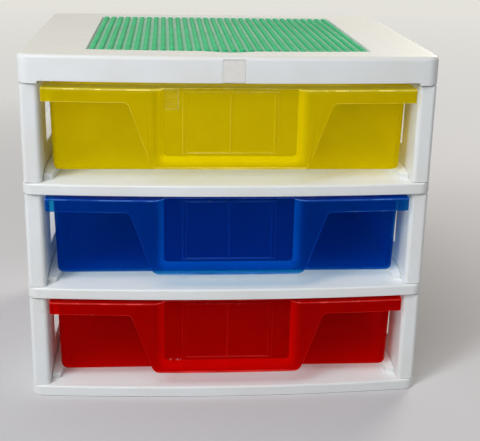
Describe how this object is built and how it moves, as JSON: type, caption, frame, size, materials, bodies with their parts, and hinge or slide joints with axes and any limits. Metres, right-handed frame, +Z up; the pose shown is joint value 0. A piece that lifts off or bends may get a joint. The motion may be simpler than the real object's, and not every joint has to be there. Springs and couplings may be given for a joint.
{
  "type": "building block storage box",
  "caption": "White plastic chest of translucent pull-out drawers for toy building blocks, with a stud plate let into its top.",
  "frame": {"origin": "centre of the base's outline, on the surface it stands on", "axes": "+Z up; the drawers pull out towards -Y; +X is the right-hand side seen from the front"},
  "size_m": [0.3752, 0.323, 0.3294],
  "materials": {
    "frame_white": "satin, lightly scuffed polypropylene",
    "drawer_yellow": "glossy translucent polypropylene",
    "drawer_blue": "glossy translucent polypropylene",
    "drawer_red": "glossy translucent polypropylene",
    "plate_green": "glossy block plastic",
    "label_blank": "plain film, nothing printed"
  },
  "bodies": {
    "frame": {"top_panel": "frame_white", "front_label": "label_blank", "shelf_bottom": "frame_white", "side_frame_bottom_left": "frame_white", "side_frame_bottom_right": "frame_white", "shelf_middle": "frame_white", "side_frame_middle_left": "frame_white", "side_frame_middle_right": "frame_white", "shelf_top": "frame_white", "side_frame_top_left": "frame_white", "side_frame_top_right": "frame_white"},
    "drawer_bottom": {"drawer_bottom": "drawer_red"},
    "drawer_middle": {"drawer_middle": "drawer_blue"},
    "drawer_top": {"drawer_top": "drawer_yellow"},
    "stud_plate": {"stud_plate": "plate_green"}
  },
  "joints": [
    {"name": "drawer_bottom_slide", "type": "slide", "parent": "frame", "child": "drawer_bottom", "axis": [0, -1, 0], "range_m": [0, 0.26]},
    {"name": "drawer_middle_slide", "type": "slide", "parent": "frame", "child": "drawer_middle", "axis": [0, -1, 0], "range_m": [0, 0.26]},
    {"name": "drawer_top_slide", "type": "slide", "parent": "frame", "child": "drawer_top", "axis": [0, -1, 0], "range_m": [0, 0.26]},
    {"name": "stud_plate_lift", "type": "slide", "parent": "frame", "child": "stud_plate", "axis": [0, 0, 1], "range_m": [0, 0.03]}
  ]
}
